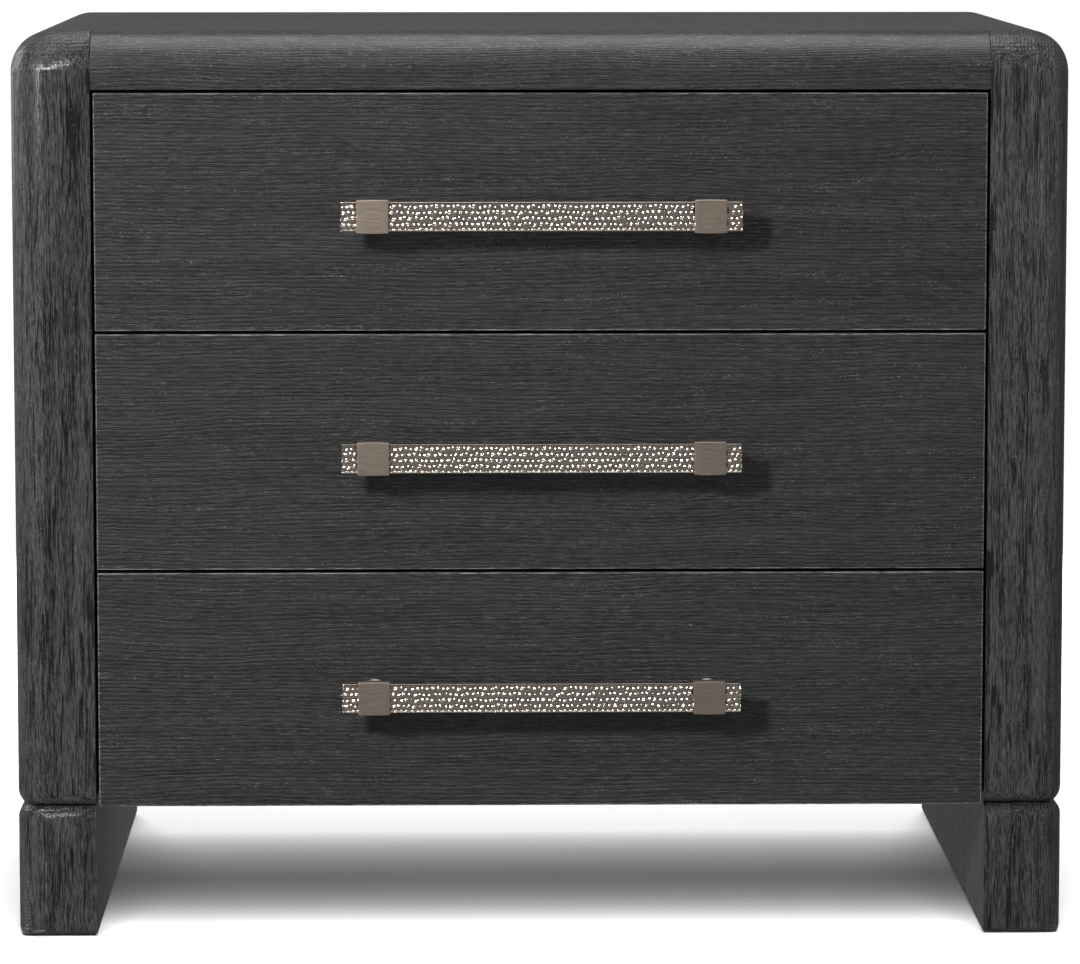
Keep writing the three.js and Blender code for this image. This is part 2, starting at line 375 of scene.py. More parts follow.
def brushed_oak(name, turn, seed, cut):
    """Charcoal oak, wire-brushed: soft wood brushed out between hard ridges, open pores that
    hold shadow or a little pale filler, and a satin lacquer that glints on the ridges. turn lays
    the grain along the pattern's own X. cut says how the board was sawn: ring, the distance
    between growth rings, lean, how steeply they come up through the face, wander, how far they
    stray, and streak, how strongly the wide pores show as dark streaks. ripple, if it is there,
    is how strongly the brush has rippled the rounds that cut across the grain. stain names the
    colour on the ridges, relief is how deep the brush has cut, and film is how much of that still
    shows in the lacquer's own surface."""
    finishes = bpy.context.scene.nightstand_finishes
    material, tree, shader, place = new_finish(name)
    laid = add(
        tree, "ShaderNodeMapping", {"Rotation": turn, "Location": (seed, 2 * seed, 3 * seed)},
        {"Vector": place},
    ).outputs["Vector"]

    # Growth rings that wander over a hand's length, which draws the figure.
    slow = add(
        tree, "ShaderNodeMapping", {"Scale": (5.5, 22.0, 22.0)}, {"Vector": laid}
    ).outputs["Vector"]
    stray = add(
        tree, "ShaderNodeTexNoise", {"Scale": 1.0, "Detail": 2.0, "Roughness": 0.45},
        {"Vector": slow},
    ).outputs["Fac"]
    apart = add(tree, "ShaderNodeSeparateXYZ", links={"Vector": laid}).outputs
    lean = add(
        tree, "ShaderNodeMath", {"operation": "MULTIPLY_ADD", 1: cut["lean"]},
        {0: apart["Z"], 2: apart["Y"]},
    ).outputs[0]
    depth = add(
        tree, "ShaderNodeMath", {"operation": "MULTIPLY_ADD", 1: cut["wander"]},
        {0: stray, 2: lean},
    ).outputs[0]
    ring = add(
        tree, "ShaderNodeMath", {"operation": "MULTIPLY", 1: 1 / cut["ring"]}, {0: depth}
    ).outputs[0]
    phase = add(tree, "ShaderNodeMath", {"operation": "PINGPONG", 1: 1.0}, {0: ring}).outputs[0]
    early = add(
        tree, "ShaderNodeMapRange",
        {"From Min": 0.1, "From Max": 0.6, "To Min": 1.0, "To Max": 0.0,
         "interpolation_type": "SMOOTHSTEP"},
        {"Value": phase},
    ).outputs["Result"]

    # Fibres: the coarsest 0.8 mm apart and 9 mm long, with finer ones between them.
    stretched = add(
        tree, "ShaderNodeMapping", {"Scale": (110.0, 1250.0, 1250.0)}, {"Vector": laid}
    ).outputs["Vector"]
    fibre = add(
        tree, "ShaderNodeTexNoise", {"Scale": 1.0, "Detail": 3.0, "Roughness": 0.7},
        {"Vector": stretched},
    ).outputs["Fac"]

    # Wide pores: streaks about 35 mm long and half a millimetre wide, twice their real width so
    # that they show. They crowd into the early wood and into patches with smooth wood between.
    long_way = add(
        tree, "ShaderNodeMapping", {"Scale": (30.0, 820.0, 820.0), "Location": (5, 3, 1)},
        {"Vector": laid},
    ).outputs["Vector"]
    open_wood = add(
        tree, "ShaderNodeTexNoise", {"Scale": 1.0, "Detail": 2.0, "Roughness": 0.6},
        {"Vector": long_way},
    ).outputs["Fac"]
    patches = add(
        tree, "ShaderNodeMapping", {"Scale": (9.0, 55.0, 55.0), "Location": (2, 7, 4)},
        {"Vector": laid},
    ).outputs["Vector"]
    patch = add(
        tree, "ShaderNodeTexNoise", {"Scale": 1.0, "Detail": 2.0}, {"Vector": patches}
    ).outputs["Fac"]
    in_early = add(
        tree, "ShaderNodeMath", {"operation": "MULTIPLY_ADD", 1: 0.07}, {0: early, 2: open_wood}
    ).outputs[0]
    crowded = add(
        tree, "ShaderNodeMath", {"operation": "MULTIPLY_ADD", 1: 0.4}, {0: patch, 2: in_early}
    ).outputs[0]
    pore = add(
        tree, "ShaderNodeMapRange",
        {"From Min": 0.8, "From Max": 0.84, "To Min": 0.0, "To Max": cut["streak"],
         "interpolation_type": "SMOOTHSTEP"},
        {"Value": crowded},
    ).outputs["Result"]

    # Pale filler sits here and there in the pores, in dashes 2 to 3 mm long, and the same pale
    # dashes also paint glints of light on the wood. They are drawn half a millimetre wide, twice
    # their real width, so that they show.
    clusters = add(
        tree, "ShaderNodeMapping", {"Scale": (12.0, 190.0, 190.0)}, {"Vector": laid}
    ).outputs["Vector"]
    cluster = add(
        tree, "ShaderNodeTexNoise", {"Scale": 1.0, "Detail": 3.0}, {"Vector": clusters}
    ).outputs["Fac"]
    short = add(
        tree, "ShaderNodeMapping", {"Scale": (420.0, 1700.0, 1700.0)}, {"Vector": laid}
    ).outputs["Vector"]
    specks = add(tree, "ShaderNodeTexVoronoi", {"Scale": 1.0}, {"Vector": short}).outputs
    speck = add(
        tree, "ShaderNodeMapRange",
        {"From Min": 0.2, "From Max": 0.5, "To Min": 1.0, "To Max": 0.0},
        {"Value": specks["Distance"]},
    ).outputs["Result"]
    lot = add(tree, "ShaderNodeSeparateColor", links={"Color": specks["Color"]}).outputs
    chance = add(
        tree, "ShaderNodeMapRange",
        {"From Min": 0.4, "From Max": 0.68, "To Min": 0.06, "To Max": 0.5},
        {"Value": cluster},
    ).outputs["Result"]
    chosen = add(
        tree, "ShaderNodeMath", {"operation": "LESS_THAN"}, {0: lot["Green"], 1: chance}
    ).outputs[0]
    strength = add(
        tree, "ShaderNodeMath", {"operation": "MULTIPLY"}, {0: speck, 1: lot["Blue"]}
    ).outputs[0]
    fleck_and_glint = add(
        tree, "ShaderNodeMath", {"operation": "MULTIPLY"}, {0: strength, 1: chosen}
    ).outputs[0]

    # Colour: deep in the valleys, lighter on the ridges, dark pores, pale flecks that are partly
    # filler and partly painted glints.
    tone = add(
        tree, "ShaderNodeMapRange",
        {"From Min": 0.4, "From Max": 0.62, "To Min": 0.0, "To Max": 1.0},
        {"Value": fibre},
    ).outputs["Result"]
    broad = add(
        tree, "ShaderNodeMapping", {"Scale": (5.0, 120.0, 120.0), "Location": (1, 4, 6)},
        {"Vector": laid},
    ).outputs["Vector"]
    band = add(
        tree, "ShaderNodeTexNoise", {"Scale": 1.0, "Detail": 3.0}, {"Vector": broad}
    ).outputs["Fac"]
    banded = add(
        tree, "ShaderNodeMath", {"operation": "MULTIPLY_ADD", 1: 1.0}, {0: band, 2: tone}
    ).outputs[0]
    depth_of_stain = add(
        tree, "ShaderNodeMapRange",
        {"From Min": 0.35, "From Max": 1.6, "To Min": 0.0, "To Max": 1.0},
        {"Value": banded},
    ).outputs["Result"]
    stain = getattr(finishes, cut["stain"])
    ground = add(
        tree, "ShaderNodeMix",
        {"data_type": "RGBA", 6: tuple(finishes.oak_deep), 7: tuple(stain)},
        {0: depth_of_stain},
    ).outputs[2]
    with_pores = add(
        tree, "ShaderNodeMix", {"data_type": "RGBA", 7: tuple(finishes.oak_pore)},
        {0: pore, 6: ground},
    ).outputs[2]
    # Pale flecks: filler in the pores and painted glints of light.
    coloured = add(
        tree, "ShaderNodeMix", {"data_type": "RGBA", 7: tuple(finishes.oak_fleck_and_glint)},
        {0: fleck_and_glint, 6: with_pores},
    ).outputs[2]
    tree.links.new(coloured, shader.inputs["Base Color"])

    gloss = add(
        tree, "ShaderNodeMapRange",
        {"From Min": 0.3, "From Max": 1.5, "To Min": 0.56, "To Max": 0.3},
        {"Value": banded},
    ).outputs["Result"]
    tree.links.new(gloss, shader.inputs["Roughness"])

    # Relief: fibres stand up, early wood is brushed out, pores are open.
    ridge = add(
        tree, "ShaderNodeMath", {"operation": "MULTIPLY_ADD", 1: -0.3}, {0: early, 2: fibre}
    ).outputs[0]
    relief = add(
        tree, "ShaderNodeMath", {"operation": "MULTIPLY_ADD", 1: -0.9}, {0: pore, 2: ridge}
    ).outputs[0]
    if cut.get("ripple"):
        # Rows of ripples 2.5 mm apart, where a round turns up across the grain.
        facing = add(tree, "ShaderNodeNewGeometry").outputs["Normal"]
        upward = add(tree, "ShaderNodeSeparateXYZ", links={"Vector": facing}).outputs["Z"]
        across = add(
            tree, "ShaderNodeMapRange",
            {"From Min": 0.12, "From Max": 0.5, "To Min": 0.0, "To Max": cut["ripple"]},
            {"Value": upward},
        ).outputs["Result"]
        waves = add(
            tree, "ShaderNodeTexVoronoi", {"Scale": 400.0, "Randomness": 0.35},
            {"Vector": place},
        ).outputs["Distance"]
        relief = add(
            tree, "ShaderNodeMath", {"operation": "MULTIPLY_ADD"},
            {0: waves, 1: across, 2: relief},
        ).outputs[0]
    bump = add(
        tree, "ShaderNodeBump", {"Strength": 1.0, "Distance": cut["relief"]}, {"Height": relief}
    ).outputs["Normal"]
    tree.links.new(bump, shader.inputs["Normal"])
    # The lacquer half fills the relief, so its own highlight is only broken up.
    film = add(
        tree, "ShaderNodeBump", {"Strength": 1.0, "Distance": cut["film"]}, {"Height": relief}
    ).outputs["Normal"]
    tree.links.new(film, shader.inputs["Coat Normal"])
    shader.inputs["IOR"].default_value = 1.5
    shader.inputs["Coat Weight"].default_value = 0.8
    shader.inputs["Coat Roughness"].default_value = 0.2
    return material


def lacquered_birch(name, turn):
    """Clear-lacquered birch: pale and even, with soft narrow rings and a satin film."""
    finishes = bpy.context.scene.nightstand_finishes
    material, tree, shader, place = new_finish(name)
    laid = add(tree, "ShaderNodeMapping", {"Rotation": turn}, {"Vector": place}).outputs[0]
    stretched = add(
        tree, "ShaderNodeMapping", {"Scale": (6.0, 90.0, 90.0)}, {"Vector": laid}
    ).outputs["Vector"]
    rings = add(
        tree, "ShaderNodeTexNoise", {"Scale": 1.0, "Detail": 5.0, "Roughness": 0.55},
        {"Vector": stretched},
    ).outputs["Fac"]
    tone = add(
        tree, "ShaderNodeMapRange",
        {"From Min": 0.35, "From Max": 0.7, "To Min": 0.0, "To Max": 0.55},
        {"Value": rings},
    ).outputs["Result"]
    ground = add(
        tree, "ShaderNodeMix",
        {"data_type": "RGBA", 6: tuple(finishes.birch), 7: tuple(finishes.birch_late)},
        {0: tone},
    ).outputs[2]
    tree.links.new(ground, shader.inputs["Base Color"])
    shader.inputs["Roughness"].default_value = 0.42
    fine = add(
        tree, "ShaderNodeMapping", {"Scale": (60.0, 1500.0, 1500.0)}, {"Vector": laid}
    ).outputs["Vector"]
    pores = add(
        tree, "ShaderNodeTexNoise", {"Scale": 1.0, "Detail": 2.0}, {"Vector": fine}
    ).outputs["Fac"]
    bump = add(
        tree, "ShaderNodeBump", {"Strength": 0.25, "Distance": 0.1 * MM}, {"Height": pores}
    ).outputs["Normal"]
    tree.links.new(bump, shader.inputs["Normal"])
    return material


def birch_end_grain(name):
    """End grain of lacquered birch: darker, where the lacquer soaks in, with fine dots."""
    finishes = bpy.context.scene.nightstand_finishes
    material, tree, shader, place = new_finish(name)
    # The dots are 0.7 mm apart, coarser than birch pores, so that they show.
    dots = add(
        tree, "ShaderNodeTexNoise", {"Scale": 1500.0, "Detail": 3.0}, {"Vector": place}
    ).outputs["Fac"]
    shade = add(
        tree, "ShaderNodeMix",
        {"data_type": "RGBA", 6: tuple(0.7 * c for c in finishes.birch_end),
         7: tuple(finishes.birch_end)},
        {0: dots},
    ).outputs[2]
    tree.links.new(shade, shader.inputs["Base Color"])
    shader.inputs["Roughness"].default_value = 0.5
    return material


def hammered_nickel(name):
    """Nickel plate over hammered brass: bright and lightly clouded, duller here and there."""
    finishes = bpy.context.scene.nightstand_finishes
    material, tree, shader, place = new_finish(name)
    cloud = add(
        tree, "ShaderNodeTexNoise", {"Scale": 180.0, "Detail": 4.0}, {"Vector": place}
    ).outputs["Fac"]
    shade = add(
        tree, "ShaderNodeMix",
        {"data_type": "RGBA", 6: tuple(0.72 * c for c in finishes.nickel),
         7: tuple(finishes.nickel)},
        {0: cloud},
    ).outputs[2]
    tree.links.new(shade, shader.inputs["Base Color"])
    gloss = add(
        tree, "ShaderNodeMapRange", {"To Min": 0.14, "To Max": 0.26}, {"Value": cloud}
    ).outputs["Result"]
    tree.links.new(gloss, shader.inputs["Roughness"])
    shader.inputs["Metallic"].default_value = 1.0
    return material


def brushed_nickel(name):
    """Nickel plate brushed level with a fine belt: faint level lines, satin gloss."""
    finishes = bpy.context.scene.nightstand_finishes
    material, tree, shader, place = new_finish(name)
    # Brush lines 12 mm long and 0.6 mm apart, twice as coarse as real ones, so that they show.
    stretched = add(
        tree, "ShaderNodeMapping", {"Scale": (80.0, 1700.0, 1700.0)}, {"Vector": place}
    ).outputs["Vector"]
    lines = add(
        tree, "ShaderNodeTexNoise", {"Scale": 1.0, "Detail": 3.0}, {"Vector": stretched}
    ).outputs["Fac"]
    shade = add(
        tree, "ShaderNodeMix",
        {"data_type": "RGBA", 6: tuple(0.66 * c for c in finishes.nickel_warm),
         7: tuple(finishes.nickel_warm)},
        {0: lines},
    ).outputs[2]
    tree.links.new(shade, shader.inputs["Base Color"])
    gloss = add(
        tree, "ShaderNodeMapRange", {"To Min": 0.3, "To Max": 0.46}, {"Value": lines}
    ).outputs["Result"]
    tree.links.new(gloss, shader.inputs["Roughness"])
    bump = add(
        tree, "ShaderNodeBump", {"Strength": 0.15, "Distance": 0.05 * MM}, {"Height": lines}
    ).outputs["Normal"]
    tree.links.new(bump, shader.inputs["Normal"])
    shader.inputs["Metallic"].default_value = 1.0
    return material


def zinc_plate(name):
    """Bright zinc on rolled steel: bluish, lightly clouded, with faint rolling lines."""
    finishes = bpy.context.scene.nightstand_finishes
    material, tree, shader, place = new_finish(name)
    cloud = add(
        tree, "ShaderNodeTexNoise", {"Scale": 45.0, "Detail": 5.0}, {"Vector": place}
    ).outputs["Fac"]
    shade = add(
        tree, "ShaderNodeMix",
        {"data_type": "RGBA", 6: tuple(0.78 * c for c in finishes.zinc),
         7: tuple(finishes.zinc)},
        {0: cloud},
    ).outputs[2]
    tree.links.new(shade, shader.inputs["Base Color"])
    stretched = add(
        tree, "ShaderNodeMapping", {"Scale": (3000.0, 30.0, 3000.0)}, {"Vector": place}
    ).outputs["Vector"]
    lines = add(
        tree, "ShaderNodeTexNoise", {"Scale": 1.0, "Detail": 2.0}, {"Vector": stretched}
    ).outputs["Fac"]
    gloss = add(
        tree, "ShaderNodeMapRange", {"To Min": 0.26, "To Max": 0.42}, {"Value": lines}
    ).outputs["Result"]
    tree.links.new(gloss, shader.inputs["Roughness"])
    shader.inputs["Metallic"].default_value = 1.0
    return material


def moulded_nylon(name):
    """Black moulded nylon: dull, with the fine grain of a sparked mould."""
    material, tree, shader, place = new_finish(name)
    grain = add(
        tree, "ShaderNodeTexNoise", {"Scale": 2500.0, "Detail": 2.0}, {"Vector": place}
    ).outputs["Fac"]
    shade = add(
        tree, "ShaderNodeMix",
        {"data_type": "RGBA", 6: linear("151516"), 7: linear("222224")}, {0: grain},
    ).outputs[2]
    tree.links.new(shade, shader.inputs["Base Color"])
    shader.inputs["Roughness"].default_value = 0.55
    bump = add(
        tree, "ShaderNodeBump", {"Strength": 0.2, "Distance": 0.05 * MM}, {"Height": grain}
    ).outputs["Normal"]
    tree.links.new(bump, shader.inputs["Normal"])
    return material


def finish(name):
    """The named finish, made the first time it is asked for."""
    if name in bpy.data.materials:
        return bpy.data.materials[name]
    quarter = math.pi / 2
    plain_sawn = {"ring": 2.4 * MM, "lean": 0.2, "wander": 28 * MM, "streak": 1.0,
                  "ripple": 1.6, "stain": "oak_upright", "relief": 2.0 * MM,
                  "film": 0.2 * MM}
    rift_sawn = {"ring": 1.2 * MM, "lean": 0.8, "wander": 12 * MM, "streak": 0.4,
                 "stain": "oak", "relief": 1.0 * MM, "film": 0.1 * MM}
    recipes = {
        "upright_brushed_oak": (brushed_oak, (0, quarter, 0), 0.31, plain_sawn),
        "level_brushed_oak": (brushed_oak, (0, 0, 0), 0.17, rift_sawn),
        # Painted highlight on the drawer fronts' arrises: the level oak with a pale stain on its
        # ridges.
        "rubbed_brushed_oak": (
            brushed_oak, (0, 0, 0), 0.17, {**rift_sawn, "stain": "oak_arris_highlight"}
        ),
        "level_lacquered_birch": (lacquered_birch, (0, 0, 0)),
        "deep_lacquered_birch": (lacquered_birch, (0, 0, quarter)),
        "birch_end_grain": (birch_end_grain,),
        "hammered_nickel_plate": (hammered_nickel,),
        "brushed_nickel_plate": (brushed_nickel,),
        "zinc_plated_steel": (zinc_plate,),
        "black_moulded_nylon": (moulded_nylon,),
    }
    make, *how = recipes[name]
    return make(name, *how)


def paint_node(node, material):
    """Gives a CAD node its finish."""
    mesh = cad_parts[node].data
    mesh.materials.clear()
    mesh.materials.append(material)


# ---- Pieces -----------------------------------------------------------------------------------


class NIGHTSTAND_OT_panels(bpy.types.Operator):
    """Side panels and foot panels with rounded outer edges"""

    bl_idname = "nightstand.panels"
    bl_label = "Side and foot panels"

    def execute(self, context):
        sizes = context.scene.nightstand_case
        widest = sizes.top_round
        oak = finish("upright_brushed_oak")
        for kind in ("side_panel", "foot_panel"):
            node = f"{kind}_right"
            low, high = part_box(node)
            panel = block(f"finished_{node}", low, high)
            upper = sizes.top_round if kind == "side_panel" else sizes.groove_round
            lower = sizes.groove_round if kind == "side_panel" else sizes.sole_round

            def outer(point):
                return (
                    point.x > high.x - SAME
                    or point.y < low.y + SAME
                    or point.y > high.y - SAME
                )

            bevel_weights(panel, [
                (lambda e: along(e, 2) and middle(e).x > high.x - SAME,
                 sizes.corner_round / widest),
                (lambda e: middle(e).z > high.z - SAME and outer(middle(e)), upper / widest),
                (lambda e: middle(e).z < low.z + SAME and outer(middle(e)), lower / widest),
            ])
            apply(panel, "BEVEL", width=widest, segments=14, limit_method="WEIGHT",
                  use_clamp_overlap=False)
            ease(panel, sizes.arris)
            smooth(panel)
            twin = mirror_x(panel, f"finished_{kind}_left")
            dress(panel, oak, "case", "oak_upright", node)
            dress(twin, oak, "case", "oak_upright", f"{kind}_left")
        return {"FINISHED"}


class NIGHTSTAND_OT_top(bpy.types.Operator):
    """Top panel with its front and back edges rounded"""

    bl_idname = "nightstand.top"
    bl_label = "Top panel"

    def execute(self, context):
        sizes = context.scene.nightstand_case
        low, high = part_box("top_panel")
        top = block("finished_top_panel", low, high)
        bevel_weights(top, [
            (lambda e: along(e, 0) and middle(e).z > high.z - SAME, 1.0),
        ])
        apply(top, "BEVEL", width=sizes.top_round, segments=14, limit_method="WEIGHT")
        ease(top, sizes.arris / 2)
        smooth(top)
        dress(top, finish("level_brushed_oak"), "case", "oak_level", "top_panel")
        return {"FINISHED"}


class NIGHTSTAND_OT_inner_boards(bpy.types.Operator):
    """Back panel, base panel and drawer rails"""

    bl_idname = "nightstand.inner_boards"
    bl_label = "Inner boards"

    def execute(self, context):
        arris = context.scene.nightstand_case.arris
        for node in ("back_panel", "base_panel", "drawer_rail_lower", "drawer_rail_upper"):
            board = block(f"finished_{node}", *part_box(node))
            ease(board, arris)
            smooth(board)
            grain = "upright_brushed_oak" if node == "back_panel" else "level_brushed_oak"
            dress(board, finish(grain), "case", "oak_inner", node)
        self.screws()
        return {"FINISHED"}

    def screws(self):
        """Screws round the edge of the back panel."""
        low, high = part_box("back_panel")
        inset = 9 * MM
        screw = repeated(lambda name, at: screw_head(name, at, Vector((0, 1, 0))))
        rows = [(x, z) for x in (0.0, 1.0) for z in (0.04, 0.35, 0.65, 0.96)]
        rows += [(x, z) for x in (0.25, 0.5, 0.75) for z in (0.02, 0.98)]
        for number, (x, z) in enumerate(rows):
            at = Vector((
                low.x + inset + x * (high.x - low.x - 2 * inset), high.y,
                low.z + inset + z * (high.z - low.z - 2 * inset),
            ))
            head = screw(f"back_panel_screw_{number}", at)
            dress(head, finish("zinc_plated_steel"), "case", "zinc_steel")


class NIGHTSTAND_OT_fronts(bpy.types.Operator):
    """Drawer fronts with eased arrises"""

    bl_idname = "nightstand.fronts"
    bl_label = "Drawer fronts"

    def execute(self, context):
        arris = context.scene.nightstand_case.front_arris
        for drawer in DRAWERS:
            node = f"{drawer}_front"
            front = block(f"finished_{node}", *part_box(node))
            ease(front, arris)
            smooth(front)
            dress(front, finish("level_brushed_oak"), drawer, "oak_level", node)
            # Paints a highlight on the front's arrises.
            self.paint_arris_highlight(front)
        return {"FINISHED"}

    def paint_arris_highlight(self, front):
        """Gives the arrises a pale finish, a painted highlight of the light that catches them."""
        front.data.materials.append(finish("rubbed_brushed_oak"))
        pick(front, "FACE", lambda f: max(abs(c) for c in f.normal) < 0.999)
        front.active_material_index = 1
        bpy.ops.object.material_slot_assign()
        leave()


class NIGHTSTAND_OT_boxes(bpy.types.Operator):
    """Drawer boxes with eased boards, and the end grain of their dovetail pins"""

    bl_idname = "nightstand.boxes"
    bl_label = "Drawer boxes"

    def execute(self, context):
        sizes = context.scene.nightstand_boxes
        pin_at = repeated(lambda name, at: self.pin(name, at, sizes))
        for drawer in DRAWERS:
            for part in ("side_left", "side_right", "front", "back"):
                node = f"{drawer}_box_{part}"
                turned = "deep" if part.startswith("side") else "level"
                board = worked(node, sizes.board_arris)
                dress(board, finish(f"{turned}_lacquered_birch"), drawer, "birch_ply", node)
            paint_node(f"{drawer}_box_bottom", finish("level_lacquered_birch"))
            end_grain = finish("birch_end_grain")
            low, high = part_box(f"{drawer}_box_side_left")
            for row, share in enumerate((0.12, 0.32, 0.68, 0.88)):
                for end, y in (("front", low.y), ("back", high.y)):
                    at = Vector((low.x, y, low.z + share * (high.z - low.z)))
                    name = f"{drawer}_dovetail_pin_{end}_{row}"
                    pin = pin_at(name, at)
                    if end == "back":
                        self.turn(pin, at)
                    dress(pin, end_grain, drawer, "birch_ply")
                    dress(mirror_x(pin, f"{name}_right"), end_grain, drawer, "birch_ply")
        return {"FINISHED"}

    def pin(self, name, at, sizes):
        """The end of a pin, flush in the side and narrower at the board's end."""
        proud, buried, half = 0.06 * MM, 0.3 * MM, sizes.pin_width / 2
        near, deep = 0.8 * MM, 13 * MM
        pin = block(name, at + Vector((-proud, near, -half)), at + Vector((buried, deep, half)))
        pick(pin, "VERT", lambda v: v.co.y > at.y + deep / 2)
        bpy.ops.transform.resize(
            value=(1, 1, 1.5), center_override=at + Vector((0, deep, 0)), orient_type="GLOBAL"
        )
        leave()
        ease(pin, 0.04 * MM, 1)
        return pin

    def turn(self, pin, at):
        """Turns a front pin's shape round for the back end."""
        pick(pin, "VERT", lambda v: True)
        bpy.ops.transform.rotate(
            value=math.pi, orient_axis="X", orient_type="GLOBAL", center_override=at
        )
        leave()


class NIGHTSTAND_OT_slides(bpy.types.Operator):
    """Ball-bearing drawer slides with their screws and release levers"""

    bl_idname = "nightstand.slides"
    bl_label = "Drawer slides"

    def execute(self, context):
        zinc, nylon = finish("zinc_plated_steel"), finish("black_moulded_nylon")
        screw = repeated(lambda name, at: screw_head(name, at, Vector((-1, 0, 0))))
        lever = repeated(self.lever)
        for drawer in DRAWERS:
            for member in ("cabinet", "middle", "drawer"):
                body = {"cabinet": "case", "middle": f"{drawer}_slide_middles",
                        "drawer": drawer}[member]
                for side in SIDES:
                    node = f"{drawer}_slide_{member}_{side}"
                    steel = worked(node, 0.3 * MM)
                    dress(steel, zinc, body, "zinc_steel", node)
            low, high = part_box(f"{drawer}_slide_drawer_left")
            web = Vector((high.x - 1.2 * MM, low.y, (low.z + high.z) / 2))
            for number, y in enumerate((30 * MM, 150 * MM, 380 * MM)):
                name = f"{drawer}_slide_screw_{number}"
                head = screw(name, web + Vector((0, y, 0)))
                dress(head, zinc, drawer, "zinc_steel")
                dress(mirror_x(head, f"{name}_right"), zinc, drawer, "zinc_steel")
            name = f"{drawer}_slide_lever"
            arm = lever(name, web + Vector((0, 60 * MM, 0)))
            dress(arm, nylon, drawer, "black_nylon")
            dress(mirror_x(arm, f"{name}_right"), nylon, drawer, "black_nylon")
        return {"FINISHED"}

    def lever(self, name, at):
        """The black lever that lets the drawer off its slides: a pad with a curved tail."""
        lever = block(name, at + Vector((-2.2 * MM, 0, -4 * MM)),
                      at + Vector((0.05 * MM, 12 * MM, 4 * MM)))
        for step in range(6):
            pick(lever, "FACE", lambda f: f.normal.y > 0.7)
            bpy.ops.mesh.extrude_region_move(
                TRANSFORM_OT_translate={"value": (0, 6 * MM, (1.2 - 0.5 * step) * MM)}
            )
            bpy.ops.transform.resize(
                value=(1, 1, 0.86), orient_type="GLOBAL", center_override=at
            )
            leave()
        ease(lever, 0.4 * MM)
        smooth(lever)
        return lever


class NIGHTSTAND_OT_glides(bpy.types.Operator):
    """Floor glides with an eased rim"""

    bl_idname = "nightstand.glides"
    bl_label = "Floor glides"

    def execute(self, context):
        for end in ("front", "back"):
            for side in SIDES:
                node = f"glide_{end}_{side}"
                low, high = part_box(node)
                glide = rod(
                    f"finished_{node}", (high.x - low.x) / 2, high.z - low.z,
                    (low + high) / 2,
                )
                ease(glide, 0.5 * MM)
                smooth(glide)
                dress(glide, finish("black_moulded_nylon"), "case", "black_nylon", node)
        return {"FINISHED"}


class NIGHTSTAND_OT_bars(bpy.types.Operator):
    """Hammered handle bars"""

    bl_idname = "nightstand.bars"
    bl_label = "Handle bars"

    def execute(self, context):
        sizes = context.scene.nightstand_handles
        for turn, drawer in enumerate(DRAWERS):
            node = f"{drawer}_handle_bar"
            low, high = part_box(node)
            bar = block(f"finished_{node}", low, high)
            pick(bar, "EDGE", lambda e: along(e, 1))
            bpy.ops.mesh.bevel(offset=1.4 * MM, segments=3)
            leave()
            ease(bar, 0.5 * MM)
            apply(bar, "REMESH", mode="VOXEL", voxel_size=sizes.grid, adaptivity=0.0)
            self.hammer(bar, low, high, sizes, random.Random(31 + turn))
            only(bar)
            bpy.ops.object.shade_smooth()
            dress(bar, finish("hammered_nickel_plate"), drawer, "hammered_nickel", node)
        return {"FINISHED"}

    def hammer(self, bar, low, high, sizes, dice):
        """Sinks round marks into the bar, in rows that stray as hand work does, and leaves a
        plain rim along both edges."""
        pitch = sizes.mark_pitch
        rise = (high.z - low.z) / sizes.mark_rows
        count = int((high.x - low.x) / pitch) + 2
        marks = kdtree.KDTree(count * (sizes.mark_rows + 2))
        for row in range(-1, sizes.mark_rows + 1):
            for i in range(count):
                x = low.x + (i - 0.5 * (row % 2) + dice.uniform(-0.18, 0.18)) * pitch
                z = low.z + (row + 0.5 + dice.uniform(-0.18, 0.18)) * rise
                marks.insert((x, 0, z), 0)
        marks.balance()
        sunk = bar.vertex_groups.new(name="hammered")
        reach = 0.75 * pitch
        plain, fade = 0.4 * MM, 0.8 * MM
        for vertex in bar.data.vertices:
            x, _, z = vertex.co
            distance = marks.find((x, 0, z))[2]
            rim = min(1.0, max(0.0, (min(z - low.z, high.z - z) - plain) / fade))
            sunk.add([vertex.index], rim * max(0.0, 1 - (distance / reach) ** 2), "REPLACE")
        apply(
            bar, "DISPLACE", vertex_group="hammered", strength=-sizes.mark_depth,
            mid_level=0.0, direction="NORMAL",
        )


